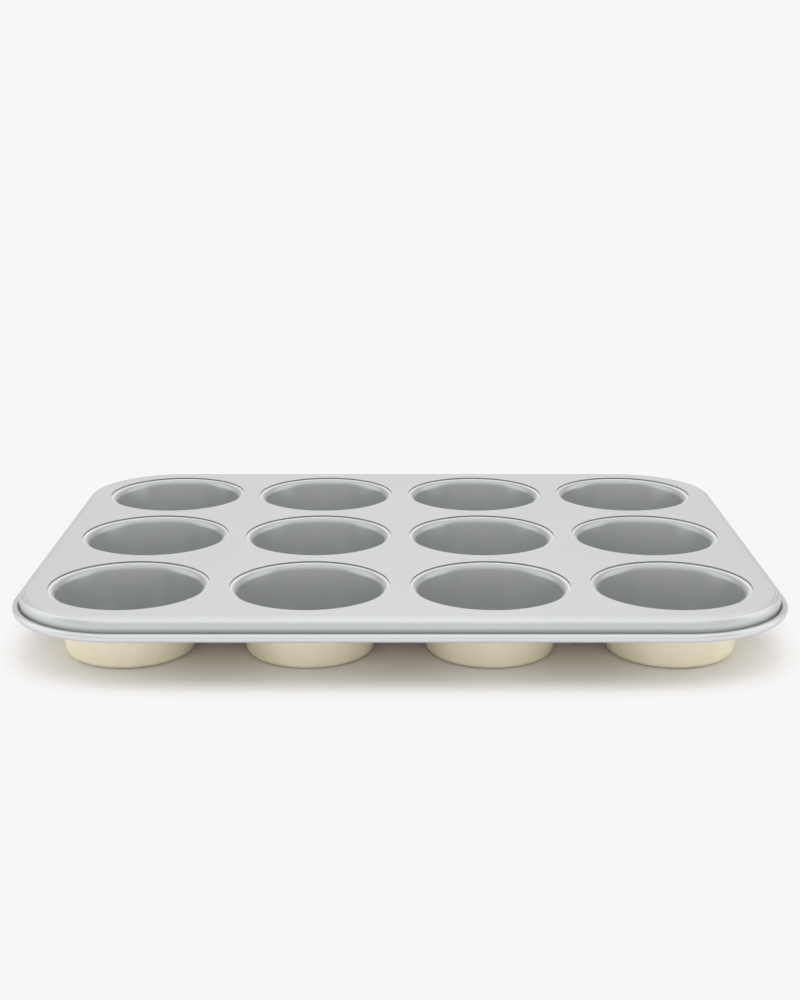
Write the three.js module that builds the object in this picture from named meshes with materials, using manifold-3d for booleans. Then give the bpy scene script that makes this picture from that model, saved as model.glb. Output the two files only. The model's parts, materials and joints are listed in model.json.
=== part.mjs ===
// A muffin pan: a pressed sheet deck whose edge is rolled round a stiffening wire,
// and drawn cups lapped under the round holes of the deck.
// Millimetres, +Z up. The origin is under the middle of the pan, on the plane its cups stand on.
// +X runs along the long side and the front faces -Y.
import * as THREE from "three";
import { mergeVertices } from "three/addons/utils/BufferGeometryUtils.js";
import Module from "manifold-3d";

// Layout of the cups
const COLUMNS = 4;
const ROW_NAMES = ["front", "middle", "back"];
const WEB_X = 9; // deck metal between neighbouring mouths along the pan
const WEB_Y = 9.4; // the same across the pan

// Sheet
const DECK_SHEET = 0.6;
const CUP_SHEET = 0.6;

// Cups
const PAN_HEIGHT = 29.6; // from the base of the cups to the top of the deck
const MOUTH_RADIUS = 35.5; // hole in the deck
const LIP_RADIUS = 3.4; // bend from the flange into the wall, on the inside of the cup
const WALL_DRAFT = THREE.MathUtils.degToRad(10.2);
const BASE_RADIUS = 3.2; // bend from the wall into the base, on the outside of the cup
const FLANGE_GAP = 4; // free strip between the flanges of neighbouring cups

// Deck
const END_MARGIN = 8.55; // flat metal beyond the outer mouths at the two ends
const SIDE_MARGIN = 8.9; // the same along the front and the back
const CORNER_RADIUS = 41.8; // corner of the flat top
const CORNER_GROWTH = 1.47; // how much faster the corner radius grows than the edge moves outward
const STEP_RUN = 1.3; // fine step that runs round the flat top
const STEP_FALL = 0.31;
const SHOULDER_RADIUS = 1.8; // tighter bend at the top of the shoulder, on the outside
const SHOULDER_BEND = THREE.MathUtils.degToRad(55);
const SIDE_RADIUS = 4.6; // wider bend that follows it down into the skirt
const SHOULDER_TURN = THREE.MathUtils.degToRad(100); // both bends together, so the skirt leans back
const SKIRT_LENGTH = 2.94; // straight stretch from there to the fold
const FOLD_RADIUS = 0.2; // tight fold from the skirt into the bead, on the outside
const BEAD_START = THREE.MathUtils.degToRad(180); // where the fold runs onto the bead, from outward
const BEAD_END = THREE.MathUtils.degToRad(-140); // where the roll stops under the rim

// Wire in the rolled edge
const WIRE_RADIUS = 1.1;
const WIRE_CLEARANCE = 0.15; // between the wire and the sheet rolled round it

// Fineness of the curves
const CUP_STEPS = 28;
const LIP_STEPS = 3;
const BASE_STEPS = 2;
const CORNER_STEPS = 8;
const SHOULDER_STEPS = 3;
const SIDE_STEPS = 3;
const FOLD_STEPS = 3;
const BEAD_STEPS = 9;
const WIRE_STEPS = 8;

// Places that follow from the sizes
const pitchX = 2 * MOUTH_RADIUS + WEB_X;
const pitchY = 2 * MOUTH_RADIUS + WEB_Y;
const rows = ROW_NAMES.length;
const deckHalfX = ((COLUMNS - 1) / 2) * pitchX + MOUTH_RADIUS + END_MARGIN;
const deckHalfY = ((rows - 1) / 2) * pitchY + MOUTH_RADIUS + SIDE_MARGIN;
const deckUnderside = PAN_HEIGHT - DECK_SHEET;
const flangeRadius = MOUTH_RADIUS + (Math.min(WEB_X, WEB_Y) - FLANGE_GAP) / 2;
const rollInside = WIRE_RADIUS + WIRE_CLEARANCE;
const beadRadius = rollInside + DECK_SHEET;
const shoulderHeight = PAN_HEIGHT - STEP_FALL - SHOULDER_RADIUS;
const sideFacing = Math.PI / 2 - SHOULDER_BEND; // direction that the outside faces between the bends
const sideOffset = STEP_RUN + (SHOULDER_RADIUS - SIDE_RADIUS) * Math.cos(sideFacing);
const sideHeight = shoulderHeight + (SHOULDER_RADIUS - SIDE_RADIUS) * Math.sin(sideFacing);
const skirtFacing = Math.PI / 2 - SHOULDER_TURN; // direction that the outside of the skirt faces
const foldReach = SIDE_RADIUS + FOLD_RADIUS;
const foldOffset =
  sideOffset + foldReach * Math.cos(skirtFacing) + SKIRT_LENGTH * Math.sin(skirtFacing);
const foldHeight =
  sideHeight + foldReach * Math.sin(skirtFacing) - SKIRT_LENGTH * Math.cos(skirtFacing);
const beadReach = FOLD_RADIUS + beadRadius;
const beadOffset = foldOffset - beadReach * Math.cos(BEAD_START);
const beadHeight = foldHeight - beadReach * Math.sin(BEAD_START);

const wasm = await Module();
wasm.setup();

// Points on an arc, both ends included. Angles in radians, counterclockwise from the first axis.
function arc(centreX, centreY, radius, from, to, steps) {
  const points = [];
  for (let step = 0; step <= steps; step += 1) {
    const angle = from + ((to - from) * step) / steps;
    const x = centreX + radius * Math.cos(angle);
    const y = centreY + radius * Math.sin(angle);
    points.push(new THREE.Vector2(x, y));
  }
  return points;
}

function circle(centreX, centreY, radius, steps) {
  return arc(centreX, centreY, radius, 0, 2 * Math.PI, steps).slice(0, steps);
}

// Outline of the deck, moved outward by an offset. It is the path of everything that runs round the edge.
function deckOutline(offset) {
  const radius = CORNER_RADIUS + CORNER_GROWTH * offset;
  const centreX = deckHalfX + offset - radius;
  const centreY = deckHalfY + offset - radius;
  const quarter = Math.PI / 2;
  return [
    ...arc(centreX, centreY, radius, 0, quarter, CORNER_STEPS),
    ...arc(-centreX, centreY, radius, quarter, 2 * quarter, CORNER_STEPS),
    ...arc(-centreX, -centreY, radius, 2 * quarter, 3 * quarter, CORNER_STEPS),
    ...arc(centreX, -centreY, radius, 3 * quarter, 4 * quarter, CORNER_STEPS),
  ];
}

// A closed section carried once round the deck. The section's x is the offset outward from the edge
// of the flat top and its y is the height. It runs counterclockwise.
function carriedRound(section) {
  const paths = section.map((point) => deckOutline(point.x));
  const around = paths[0].length;
  const positions = [];
  section.forEach((point, place) => {
    paths[place].forEach((onPath) => positions.push(onPath.x, onPath.y, point.y));
  });
  const indices = [];
  for (let place = 0; place < section.length; place += 1) {
    const nextPlace = (place + 1) % section.length;
    for (let turn = 0; turn < around; turn += 1) {
      const nextTurn = (turn + 1) % around;
      const here = place * around + turn;
      const ahead = place * around + nextTurn;
      const up = nextPlace * around + turn;
      const upAhead = nextPlace * around + nextTurn;
      indices.push(here, ahead, upAhead, here, upAhead, up);
    }
  }
  const geometry = new THREE.BufferGeometry();
  geometry.setAttribute("position", new THREE.Float32BufferAttribute(positions, 3));
  geometry.setIndex(indices);
  return geometry;
}

function toSolid(geometry) {
  const bare = geometry.clone();
  bare.deleteAttribute("normal");
  bare.deleteAttribute("uv");
  const merged = mergeVertices(bare, 1e-4);
  const vertProperties = new Float32Array(merged.attributes.position.array);
  const triVerts = new Uint32Array(merged.index.array);
  return new wasm.Manifold(new wasm.Mesh({ numProp: 3, vertProperties, triVerts }));
}

function toGeometry(solid) {
  const mesh = solid.getMesh();
  const geometry = new THREE.BufferGeometry();
  geometry.setAttribute("position", new THREE.BufferAttribute(mesh.vertProperties, 3));
  geometry.setIndex(new THREE.BufferAttribute(mesh.triVerts, 1));
  geometry.computeVertexNormals();
  return geometry;
}

function cupPlaces() {
  const places = [];
  ROW_NAMES.forEach((rowName, row) => {
    for (let column = 0; column < COLUMNS; column += 1) {
      places.push({
        name: `cup_${rowName}_${column + 1}`,
        x: (column - (COLUMNS - 1) / 2) * pitchX,
        y: (row - (rows - 1) / 2) * pitchY,
      });
    }
  });
  return places;
}

// One cup as a turned shell: base, drafted wall, rounded lip and the flat flange under the deck.
function cupGeometry() {
  const top = deckUnderside;
  const lipCentreHeight = top - LIP_RADIUS;
  const wallNormal = Math.PI - WALL_DRAFT; // direction that the inside of the wall faces
  const drop = lipCentreHeight - BASE_RADIUS;
  const wallRun = LIP_RADIUS + (BASE_RADIUS - CUP_SHEET);
  const baseCentreRadius =
    MOUTH_RADIUS - wallRun / Math.cos(WALL_DRAFT) - drop * Math.tan(WALL_DRAFT);
  const bend = (radius, from, to) => arc(baseCentreRadius, BASE_RADIUS, radius, from, to, BASE_STEPS);
  const lip = (radius, from, to) => arc(MOUTH_RADIUS, lipCentreHeight, radius, from, to, LIP_STEPS);
  const down = -Math.PI / 2;
  const profile = [
    new THREE.Vector2(0, 0),
    ...bend(BASE_RADIUS, down, -WALL_DRAFT),
    ...lip(LIP_RADIUS - CUP_SHEET, wallNormal, Math.PI / 2),
    new THREE.Vector2(flangeRadius, top - CUP_SHEET),
    new THREE.Vector2(flangeRadius, top),
    ...lip(LIP_RADIUS, Math.PI / 2, wallNormal),
    ...bend(BASE_RADIUS - CUP_SHEET, -WALL_DRAFT, down),
    new THREE.Vector2(0, CUP_SHEET),
  ];
  return new THREE.LatheGeometry(profile, CUP_STEPS).rotateX(Math.PI / 2);
}

// The deck: a flat plate with the round mouths, joined to the edge that steps down to the shoulder,
// runs back along the skirt and is folded outward and rolled over the wire.
function deckGeometry() {
  const outline = new THREE.Shape(deckOutline(0));
  cupPlaces().forEach((place) => {
    outline.holes.push(new THREE.Path(circle(place.x, place.y, MOUTH_RADIUS, CUP_STEPS)));
  });
  const plate = new THREE.ExtrudeGeometry(outline, { depth: DECK_SHEET, bevelEnabled: false });
  plate.translate(0, 0, deckUnderside);

  const up = Math.PI / 2;
  const foldStart = Math.PI + skirtFacing;
  const foldEnd = Math.PI + BEAD_START;
  const shoulder = (radius, from, to) =>
    arc(STEP_RUN, shoulderHeight, radius, from, to, SHOULDER_STEPS);
  const side = (radius, from, to) => arc(sideOffset, sideHeight, radius, from, to, SIDE_STEPS);
  const fold = (radius, from, to) => arc(foldOffset, foldHeight, radius, from, to, FOLD_STEPS);
  const roll = (radius, from, to) => arc(beadOffset, beadHeight, radius, from, to, BEAD_STEPS);
  const section = [
    new THREE.Vector2(0, deckUnderside),
    ...shoulder(SHOULDER_RADIUS - DECK_SHEET, up, sideFacing),
    ...side(SIDE_RADIUS - DECK_SHEET, sideFacing, skirtFacing).slice(1),
    ...fold(FOLD_RADIUS + DECK_SHEET, foldStart, foldEnd),
    ...roll(rollInside, BEAD_START, BEAD_END).slice(1),
    ...roll(beadRadius, BEAD_END, BEAD_START),
    ...fold(FOLD_RADIUS, foldEnd, foldStart).slice(1),
    ...side(SIDE_RADIUS, skirtFacing, sideFacing),
    ...shoulder(SHOULDER_RADIUS, sideFacing, up).slice(1),
    new THREE.Vector2(0, PAN_HEIGHT),
  ];
  return toGeometry(toSolid(plate).add(toSolid(carriedRound(section))));
}

function wireGeometry() {
  return carriedRound(circle(beadOffset, beadHeight, WIRE_RADIUS, WIRE_STEPS));
}

const greyCoating = new THREE.MeshStandardMaterial({ name: "grey_coating", color: 0xc9cbcd });
greyCoating.metalness = 0.6;
greyCoating.roughness = 0.4;
const goldCoating = new THREE.MeshStandardMaterial({ name: "gold_coating", color: 0xc8b98f });
goldCoating.metalness = 0.6;
goldCoating.roughness = 0.4;
const bareSteel = new THREE.MeshStandardMaterial({ name: "bare_steel", color: 0x9a9c9f });
bareSteel.metalness = 1;
bareSteel.roughness = 0.35;

function piece(name, geometry, material) {
  const mesh = new THREE.Mesh(geometry, material);
  mesh.name = name;
  return mesh;
}

const pan = new THREE.Group();
pan.name = "muffin_pan";
pan.add(piece("deck", deckGeometry(), greyCoating));
pan.add(piece("rim_wire", wireGeometry(), bareSteel));
cupPlaces().forEach((place) => {
  const cup = piece(place.name, cupGeometry(), goldCoating);
  cup.position.set(place.x, place.y, 0);
  pan.add(cup);
});

export default pan;
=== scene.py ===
import json
import math

import bmesh
import bpy
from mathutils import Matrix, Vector

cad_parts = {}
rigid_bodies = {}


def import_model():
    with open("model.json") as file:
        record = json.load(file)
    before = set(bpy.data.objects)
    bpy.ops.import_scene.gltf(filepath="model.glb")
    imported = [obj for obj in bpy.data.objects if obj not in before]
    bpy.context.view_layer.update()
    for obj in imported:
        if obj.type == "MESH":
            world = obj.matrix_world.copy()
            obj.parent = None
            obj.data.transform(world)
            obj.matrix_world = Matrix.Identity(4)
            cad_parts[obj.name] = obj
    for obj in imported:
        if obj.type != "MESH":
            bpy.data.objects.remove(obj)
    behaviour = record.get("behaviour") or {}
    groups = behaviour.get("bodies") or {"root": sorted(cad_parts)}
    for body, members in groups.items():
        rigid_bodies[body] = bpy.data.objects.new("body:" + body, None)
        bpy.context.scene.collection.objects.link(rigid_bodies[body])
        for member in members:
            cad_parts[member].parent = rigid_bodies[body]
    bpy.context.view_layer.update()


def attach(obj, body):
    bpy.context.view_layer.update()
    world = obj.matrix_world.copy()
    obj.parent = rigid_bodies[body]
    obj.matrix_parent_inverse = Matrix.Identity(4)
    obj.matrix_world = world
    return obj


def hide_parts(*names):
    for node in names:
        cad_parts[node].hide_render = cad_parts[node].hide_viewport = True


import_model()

# Deck
# One sheet of coated steel, pressed to a flat top with a fine step and a round shoulder.
# The skirt is folded back on itself and rolled outward over a wire, and the mouths are punched out.
mm = 0.001
touching = 0.01 * mm
columns = 4
row_names = ["front", "middle", "back"]
pitch_along = 80 * mm
pitch_across = 80.4 * mm
deck_top = 29.6 * mm
deck_sheet = 0.6 * mm
mouth_radius = 35.5 * mm
mouth_sides = 160
punch_depth = 4 * mm
flat_half_along = 164.05 * mm
flat_half_across = 124.8 * mm
flat_corner = 41.8 * mm
corner_growth = 1.47
corner_steps = 36
flat_border = 5 * mm
step_lead = 0.3 * mm
step_run = 1.3 * mm
step_radius = 0.6 * mm
step_turn = math.radians(42)
step_bend_steps = 4
shoulder_radius = 1.8 * mm
shoulder_bend = math.radians(55)
side_radius = 4.6 * mm
shoulder_turn = math.radians(100)
shoulder_steps = 12
skirt_length = 2.94 * mm
fold_radius = 0.2 * mm
fold_steps = 12
bead_radius = 1.85 * mm
bead_start = math.radians(180)
bead_turn = math.radians(320)
bead_steps = 36
whole_turn = 2 * math.pi
quarter_turn = math.pi / 2
upright = (0, 0, 1)
edge_axis = (1, 0, 0)
crease_angle = math.radians(35)


def lone_corner(name, place):
    # Every section starts from one corner, which a small plane is merged to.
    bpy.ops.object.select_all(action="DESELECT")
    bpy.ops.mesh.primitive_plane_add(size=mm, location=place)
    piece = bpy.context.object
    piece.name = name
    piece.data.name = name
    bpy.ops.object.transform_apply(location=True)
    bpy.ops.object.mode_set(mode="EDIT")
    bpy.ops.mesh.merge(type="CENTER")
    return piece


def draw_straight(way):
    bpy.ops.mesh.extrude_region_move(TRANSFORM_OT_translate={"value": way})


def draw_bend(centre, axis, angle, steps):
    bpy.ops.mesh.spin(center=centre, axis=axis, angle=angle, steps=steps)


def on_section(offset, height):
    return Vector((0, flat_half_across + offset, deck_top + height))


def carry_round(piece):
    # A section at the middle of the back edge is drawn along it, round a corner and along the end.
    # The corner opens with the distance from the flat, and this quarter is mirrored to the whole edge.
    straight_along = flat_half_along - flat_corner
    straight_across = flat_half_across - flat_corner
    bpy.ops.mesh.select_all(action="SELECT")
    draw_straight((straight_along, 0, 0))
    draw_bend((straight_along, straight_across, 0), upright, quarter_turn, corner_steps)
    draw_straight((0, -straight_across, 0))
    bpy.ops.object.mode_set(mode="OBJECT")
    for point in piece.data.vertices:
        along = point.co.x - straight_along
        across = point.co.y - straight_across
        if min(along, across) > -touching:
            reach = math.hypot(along, across)
            offset = reach - flat_corner
            radius = flat_corner + corner_growth * offset
            point.co.x = flat_half_along + offset - radius + radius * along / reach
            point.co.y = flat_half_across + offset - radius + radius * across / reach
    bpy.ops.object.modifier_add(type="MIRROR")
    mirror = piece.modifiers[-1]
    mirror.use_axis = (True, True, False)
    mirror.merge_threshold = touching
    bpy.ops.object.modifier_apply(modifier=mirror.name)


def clean_mesh(inward=False):
    bpy.ops.object.mode_set(mode="EDIT")
    bpy.ops.mesh.select_all(action="SELECT")
    bpy.ops.mesh.remove_doubles(threshold=touching)
    bpy.ops.mesh.normals_make_consistent(inside=inward)
    bpy.ops.object.mode_set(mode="OBJECT")


def give_thickness(piece, thickness):
    # The sheet grows behind its drawn face. The new face takes the second material, and the rim the third.
    bpy.ops.object.modifier_add(type="SOLIDIFY")
    wall = piece.modifiers[-1]
    wall.thickness = thickness
    wall.offset = -1
    wall.use_even_offset = True
    wall.material_offset = 1
    wall.material_offset_rim = 2
    bpy.ops.object.modifier_apply(modifier=wall.name)


gloss_spread = 0.03
grain_fineness = 2600
grain_strength = 0.06
grain_depth = 0.05 * mm


def coating(name, colour, dark_colour, metal, roughness, fineness=22, drawn=1):
    # A satin metallic coat: faint clouding in the colour, small changes of gloss, and a very fine grain.
    # Where the sheet is drawn deep, the clouds are drawn out with it into upright streaks.
    material = bpy.data.materials.new(name)
    material.use_nodes = True
    nodes = material.node_tree.nodes
    links = material.node_tree.links
    shader = nodes["Principled BSDF"]
    shader.inputs["Metallic"].default_value = metal
    place = nodes.new("ShaderNodeTexCoord")
    clouds = nodes.new("ShaderNodeTexNoise")
    clouds.inputs["Scale"].default_value = fineness
    clouds.inputs["Detail"].default_value = 3
    streak = nodes.new("ShaderNodeVectorMath")
    streak.operation = "MULTIPLY"
    streak.inputs[1].default_value = (1, 1, 1 / drawn)
    links.new(place.outputs["Object"], streak.inputs[0])
    links.new(streak.outputs["Vector"], clouds.inputs["Vector"])
    tone = nodes.new("ShaderNodeMix")
    tone.data_type = "RGBA"
    tone.inputs["A"].default_value = (*dark_colour, 1)
    tone.inputs["B"].default_value = (*colour, 1)
    links.new(clouds.outputs["Fac"], tone.inputs["Factor"])
    links.new(tone.outputs["Result"], shader.inputs["Base Color"])
    gloss = nodes.new("ShaderNodeMapRange")
    gloss.inputs["To Min"].default_value = roughness - gloss_spread
    gloss.inputs["To Max"].default_value = roughness + gloss_spread
    links.new(clouds.outputs["Fac"], gloss.inputs["Value"])
    links.new(gloss.outputs["Result"], shader.inputs["Roughness"])
    grain = nodes.new("ShaderNodeTexNoise")
    grain.inputs["Scale"].default_value = grain_fineness
    grain.inputs["Detail"].default_value = 2
    links.new(place.outputs["Object"], grain.inputs["Vector"])
    relief = nodes.new("ShaderNodeBump")
    relief.inputs["Strength"].default_value = grain_strength
    relief.inputs["Distance"].default_value = grain_depth
    links.new(grain.outputs["Fac"], relief.inputs["Height"])
    links.new(relief.outputs["Normal"], shader.inputs["Normal"])
    return material


def paint_light_between_heights(material, colour, none_at, full_at):
    # Painted light: the coat is painted a lighter tone, more and more between two heights.
    nodes = material.node_tree.nodes
    links = material.node_tree.links
    shader = nodes["Principled BSDF"]
    coat = shader.inputs["Base Color"].links[0].from_socket
    place = nodes.new("ShaderNodeTexCoord")
    split = nodes.new("ShaderNodeSeparateXYZ")
    links.new(place.outputs["Object"], split.inputs["Vector"])
    painted_light_amount = nodes.new("ShaderNodeMapRange")
    painted_light_amount.inputs["From Min"].default_value = none_at
    painted_light_amount.inputs["From Max"].default_value = full_at
    links.new(split.outputs["Z"], painted_light_amount.inputs["Value"])
    blend = nodes.new("ShaderNodeMix")
    blend.data_type = "RGBA"
    blend.inputs["B"].default_value = (*colour, 1)
    links.new(painted_light_amount.outputs["Result"], blend.inputs["Factor"])
    links.new(coat, blend.inputs["A"])
    links.new(blend.outputs["Result"], shader.inputs["Base Color"])


deck_grey = (0.49, 0.502, 0.507)
deck_dark_grey = (0.47, 0.482, 0.487)
grey_coating = coating("grey_coating", deck_grey, deck_dark_grey, metal=0.58, roughness=0.34)
# Seen along the sheet, this coat shines less than bare metal.
grazing_shine = (0.62, 0.62, 0.62, 1)
grey_shader = grey_coating.node_tree.nodes["Principled BSDF"]
grey_shader.inputs["Specular Tint"].default_value = grazing_shine
# Painted highlight: the lower part of the rolled bead is painted lighter, where the bright floor would
# light it.
bead_highlight_grey = (0.59, 0.6, 0.61)
bead_highlight_start = deck_top - 6.2 * mm
bead_highlight_full = deck_top - 7.4 * mm
paint_light_between_heights(grey_coating, bead_highlight_grey, bead_highlight_start, bead_highlight_full)
pale_gold = (1, 0.94, 0.735)
dark_gold = (0.81, 0.755, 0.575)
gold_coating = coating("gold_coating", pale_gold, dark_gold, metal=0.12, roughness=0.38,
                       fineness=70, drawn=10)
sheared_steel = (0.2, 0.2, 0.2)
sheared_dark_steel = (0.16, 0.16, 0.16)
cut_steel = coating("cut_steel", sheared_steel, sheared_dark_steel, metal=0.3, roughness=0.5)

cup_places = []
for row, row_name in enumerate(row_names):
    for column in range(columns):
        place_x = (column - (columns - 1) / 2) * pitch_along
        place_y = (row - (len(row_names) - 1) / 2) * pitch_across
        cup_places.append((f"cup_{row_name}_{column + 1}", place_x, place_y))

# Section from the flat top outward
deck = lone_corner("deck_sheet", on_section(-flat_border, 0))
draw_straight((0, flat_border - step_lead, 0))
draw_straight((0, step_lead, 0))
bend_run = step_radius * math.sin(step_turn)
bend_fall = step_radius * (1 - math.cos(step_turn))
draw_bend(on_section(0, -step_radius), edge_axis, step_turn, step_bend_steps)
draw_bend(on_section(2 * bend_run, step_radius - 2 * bend_fall), edge_axis, -step_turn, step_bend_steps)
draw_straight((0, step_run - 2 * bend_run, 0))
shoulder_height = -2 * bend_fall - shoulder_radius
draw_bend(on_section(step_run, shoulder_height), edge_axis, shoulder_bend, shoulder_steps)
side_offset = step_run + (shoulder_radius - side_radius) * math.sin(shoulder_bend)
side_height = shoulder_height + (shoulder_radius - side_radius) * math.cos(shoulder_bend)
side_bend = shoulder_turn - shoulder_bend
draw_bend(on_section(side_offset, side_height), edge_axis, side_bend, shoulder_steps)
skirt_run = skirt_length * math.cos(shoulder_turn)
skirt_fall = skirt_length * math.sin(shoulder_turn)
draw_straight((0, skirt_run, -skirt_fall))
fold_reach = side_radius + fold_radius
fold_offset = side_offset + fold_reach * math.sin(shoulder_turn) + skirt_run
fold_height = side_height + fold_reach * math.cos(shoulder_turn) - skirt_fall
fold_turn = shoulder_turn + bead_start - quarter_turn
draw_bend(on_section(fold_offset, fold_height), edge_axis, -fold_turn, fold_steps)
bead_reach = bead_radius + fold_radius
bead_offset = fold_offset - bead_reach * math.cos(bead_start)
bead_height = fold_height - bead_reach * math.sin(bead_start)
draw_bend(on_section(bead_offset, bead_height), edge_axis, bead_turn, bead_steps)

# The whole edge, the flat inside it, and the thickness of the sheet
carry_round(deck)
bpy.ops.object.mode_set(mode="EDIT")
bpy.ops.mesh.select_mode(type="EDGE")
bpy.ops.mesh.select_all(action="DESELECT")
bpy.ops.mesh.select_non_manifold()
shape = bmesh.from_edit_mesh(deck.data)
below_flat = deck_top - 1 * mm
for edge in shape.edges:
    if edge.select and edge.verts[0].co.z < below_flat:
        edge.select_set(False)
bpy.ops.mesh.edge_face_add()
bpy.ops.mesh.select_mode(type="VERT")
clean_mesh()
for material in (grey_coating, gold_coating, cut_steel):
    deck.data.materials.append(material)
give_thickness(deck, deck_sheet)

# Punched mouths
bpy.ops.object.select_all(action="DESELECT")
for name, place_x, place_y in cup_places:
    bpy.ops.mesh.primitive_cylinder_add(vertices=mouth_sides, radius=mouth_radius, depth=punch_depth,
                                        location=(place_x, place_y, deck_top))
    punch = bpy.context.object
    punch.name = f"punch_{name}"
    punch.data.materials.append(cut_steel)
bpy.ops.object.select_pattern(pattern="punch_*", extend=False)
bpy.ops.object.join()
punch = bpy.context.object
bpy.context.view_layer.objects.active = deck
bpy.ops.object.modifier_add(type="BOOLEAN")
cut = deck.modifiers[-1]
cut.operation = "DIFFERENCE"
cut.solver = "EXACT"
cut.material_mode = "TRANSFER"
cut.object = punch
bpy.ops.object.modifier_apply(modifier=cut.name)
bpy.data.objects.remove(punch)
bpy.ops.object.select_all(action="DESELECT")
deck.select_set(True)
bpy.ops.object.shade_smooth_by_angle(angle=crease_angle)
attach(deck, "root")
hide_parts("deck")

# Rim wire
# A drawn steel wire, bent to the outline of the deck and butted end to end.
# The edge of the deck is rolled over it, so it shows only through the slit under the rim.
wire_radius = 1.1 * mm
wire_sides = 20
wire_grey = (0.55, 0.55, 0.56)
wire_dark_grey = (0.46, 0.46, 0.47)
wire = lone_corner("rim_wire_drawn", on_section(bead_offset, bead_height + wire_radius))
draw_bend(on_section(bead_offset, bead_height), edge_axis, whole_turn, wire_sides)
carry_round(wire)
clean_mesh()
wire_steel = coating("wire_steel", wire_grey, wire_dark_grey, metal=1, roughness=0.3)
wire.data.materials.append(wire_steel)
bpy.ops.object.shade_smooth_by_angle(angle=crease_angle)
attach(wire, "root")
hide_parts("rim_wire")

# Cups
# Each cup is drawn from coated sheet: flat base, tapered wall and a rounded lip with a flat flange.
# The flange is welded under the deck round its mouth, so the cut edge of the deck shows above the lip.
cup_sheet = 0.6 * mm
lip_radius = 3.4 * mm
lip_steps = 12
wall_draft = math.radians(10.2)
base_radius = 3.2 * mm
base_steps = 8
base_border = 0.5 * mm
flange_width = 2.5 * mm
cup_sides = 128
# Painted shade: the coat inside the cups is painted darker than the same coat on the deck.
shaded_cup_grey = (0.356, 0.366, 0.374)
shaded_cup_dark_grey = (0.338, 0.348, 0.356)
# Painted highlight: the top of each lip is painted lighter than the shaded cup coat, a touch lighter than
# the deck.
lip_highlight_grey = (0.52, 0.53, 0.535)
lip_highlight_start = deck_top - 1.1 * mm
lip_highlight_full = deck_top - 0.65 * mm
bend_turn = quarter_turn - wall_draft
cup_top = deck_top - deck_sheet
lip_height = cup_top - lip_radius
lip_outside = lip_radius - cup_sheet
wall_drop = lip_height - base_radius
wall_run = lip_radius + base_radius - cup_sheet
base_flat = mouth_radius - wall_run / math.cos(wall_draft) - wall_drop * math.tan(wall_draft)
wall_foot = Vector((base_flat + base_radius * math.cos(wall_draft), 0,
                    base_radius - base_radius * math.sin(wall_draft)))
wall_head = Vector((mouth_radius - lip_outside * math.cos(wall_draft), 0,
                    lip_height + lip_outside * math.sin(wall_draft)))
section_axis = (0, 1, 0)

cup = lone_corner("cup", (0, 0, 0))
draw_straight((base_flat - base_border, 0, 0))
draw_straight((base_border, 0, 0))
draw_bend((base_flat, 0, base_radius), section_axis, bend_turn, base_steps)
draw_straight(wall_head - wall_foot)
draw_bend((mouth_radius, 0, lip_height), section_axis, -bend_turn, lip_steps)
draw_straight((flange_width, 0, 0))
bpy.ops.mesh.select_all(action="SELECT")
draw_bend((0, 0, 0), upright, whole_turn, cup_sides)
bpy.ops.object.mode_set(mode="OBJECT")
clean_mesh(inward=True)
# The inside of each cup takes this darker, painted-shade copy of the grey coat.
cup_coating = coating("cup_coating", shaded_cup_grey, shaded_cup_dark_grey, metal=0.42, roughness=0.26)
paint_light_between_heights(cup_coating, lip_highlight_grey, lip_highlight_start, lip_highlight_full)
for material in (gold_coating, cup_coating, cut_steel):
    cup.data.materials.append(material)
give_thickness(cup, cup_sheet)
bpy.ops.object.shade_smooth_by_angle(angle=crease_angle)

for name, place_x, place_y in cup_places:
    bpy.ops.object.select_all(action="DESELECT")
    cup.select_set(True)
    bpy.context.view_layer.objects.active = cup
    bpy.ops.object.duplicate()
    drawn_cup = bpy.context.object
    drawn_cup.name = f"{name}_drawn"
    drawn_cup.data.name = drawn_cup.name
    bpy.ops.transform.translate(value=(place_x, place_y, 0))
    bpy.ops.object.transform_apply(location=True)
    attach(drawn_cup, "root")
    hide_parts(name)
bpy.data.objects.remove(cup)

# Studio
# A plain pale floor of matt paint that runs to the horizon, just under the bases of the cups.
# It is lit from all round by a soft studio sky, and no lamp stands in it.
floor_size = 60
floor_drop = 0.05 * mm
floor_colour = (0.81, 0.805, 0.83, 1)
sky_colour = (1, 1, 0.985, 1)
bpy.ops.object.select_all(action="DESELECT")
bpy.ops.mesh.primitive_plane_add(size=floor_size, location=(0, 0, -floor_drop))
floor = bpy.context.object
floor.name = "studio_floor"
bpy.ops.object.transform_apply(location=True)
floor_paint = bpy.data.materials.new("floor_paint")
floor_paint.use_nodes = True
floor_shader = floor_paint.node_tree.nodes["Principled BSDF"]
floor_shader.inputs["Base Color"].default_value = floor_colour
floor_shader.inputs["Roughness"].default_value = 0.9
floor_shader.inputs["Specular IOR Level"].default_value = 0
floor.data.materials.append(floor_paint)

world = bpy.data.worlds.new("studio_sky")
bpy.context.scene.world = world
world.use_nodes = True
sky_nodes = world.node_tree.nodes
sky_links = world.node_tree.links
sky = sky_nodes["Background"]
sky.inputs["Color"].default_value = sky_colour
way = sky_nodes.new("ShaderNodeTexCoord")


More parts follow.
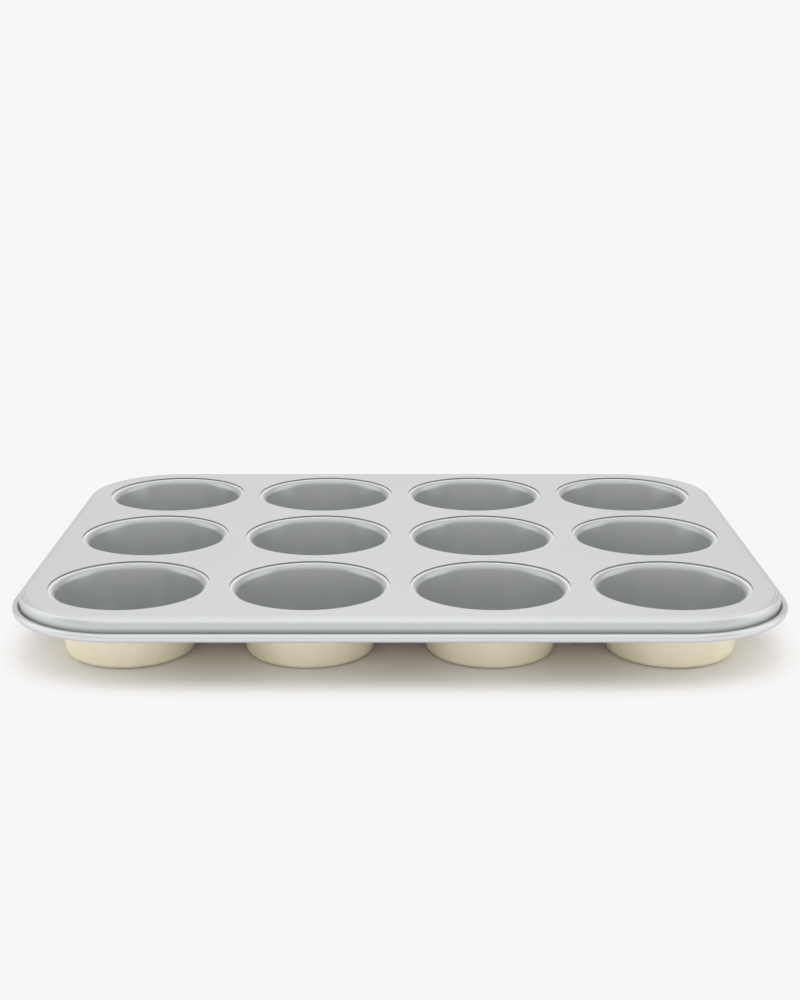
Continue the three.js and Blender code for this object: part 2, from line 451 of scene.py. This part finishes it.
def soft_light(towards, inner, outer, strongest, weakest=0):
    # A round soft patch of sky: strongest inside the inner angle, weakest beyond the outer one.
    facing = sky_nodes.new("ShaderNodeVectorMath")
    facing.operation = "DOT_PRODUCT"
    facing.inputs[1].default_value = Vector(towards).normalized()
    sky_links.new(way.outputs["Generated"], facing.inputs[0])
    fade = sky_nodes.new("ShaderNodeMapRange")
    fade.interpolation_type = "SMOOTHSTEP"
    fade.inputs["From Min"].default_value = math.cos(math.radians(outer))
    fade.inputs["From Max"].default_value = math.cos(math.radians(inner))
    fade.inputs["To Min"].default_value = weakest
    fade.inputs["To Max"].default_value = strongest
    sky_links.new(facing.outputs["Value"], fade.inputs["Value"])
    return fade.outputs["Result"]


def add_light(glow, light):
    total = sky_nodes.new("ShaderNodeMath")
    total.operation = "ADD"
    sky_links.new(glow, total.inputs[0])
    sky_links.new(light, total.inputs[1])
    return total.outputs["Value"]


# The sky is brightest overhead, a touch to the front, and dimmer near the horizon.
glow = soft_light((0, -0.12, 1), inner=11.48, outer=60, strongest=1.75, weakest=0.75)
# A soft box on each side, one behind and a wide faint one in front.
for side in (-1, 1):
    glow = add_light(glow, soft_light((side, 0.12, 0.48), inner=13, outer=36, strongest=1.2))
glow = add_light(glow, soft_light((0, 1, 0.75), inner=8, outer=30, strongest=0.92))
glow = add_light(glow, soft_light((0, -1, 0.3), inner=10, outer=60, strongest=0.2))
# A thin pale line of sky runs along the horizon, brightest behind the pan.
line_behind = 1
line_elsewhere = 0.6
split = sky_nodes.new("ShaderNodeSeparateXYZ")
sky_links.new(way.outputs["Generated"], split.inputs["Vector"])
backdrop = sky_nodes.new("ShaderNodeMapRange")
backdrop.interpolation_type = "SMOOTHSTEP"
backdrop.inputs["From Min"].default_value = 0.85
backdrop.inputs["From Max"].default_value = 0.95
backdrop.inputs["To Min"].default_value = line_elsewhere
backdrop.inputs["To Max"].default_value = line_behind
sky_links.new(split.outputs["Y"], backdrop.inputs["Value"])
horizon = sky_nodes.new("ShaderNodeMapRange")
horizon.inputs["From Min"].default_value = 0.05
horizon.inputs["From Max"].default_value = 0.13
sky_links.new(split.outputs["Z"], horizon.inputs["Value"])
sky_links.new(backdrop.outputs["Result"], horizon.inputs["To Min"])
horizon.inputs["To Max"].default_value = 0
glow = add_light(glow, horizon.outputs["Result"])
sky_links.new(glow, sky.inputs["Strength"])

# Camera
# It stands in front of the long side, a little above the pan, and looks slightly down at it.
# Its place, tilt and lens follow from the shapes of the twelve mouths in the photograph.
camera_distance = 753.3 * mm
camera_height = 245.3 * mm
camera_tilt = math.radians(14.74)
camera_data = bpy.data.cameras.new("camera")
camera_data.sensor_width = 36
camera_data.lens = 57.36
camera = bpy.data.objects.new("camera", camera_data)
bpy.context.collection.objects.link(camera)
camera.location = (0, -camera_distance, camera_height)
camera.rotation_euler = (quarter_turn - camera_tilt, 0, 0)
bpy.context.scene.camera = camera
view = bpy.context.scene.view_settings
view.view_transform = "Standard"
# The film holds its brightest tone just below white.
brightest_tone = 0.93
bend_tone = 0.86
all_colours = 3
view.use_curve_mapping = True
film = view.curve_mapping
film.extend = "HORIZONTAL"
tones = film.curves[all_colours].points
tones[1].location = (1, brightest_tone)
tones.new(bend_tone, bend_tone)
for point in tones:
    point.handle_type = "VECTOR"
film.update()
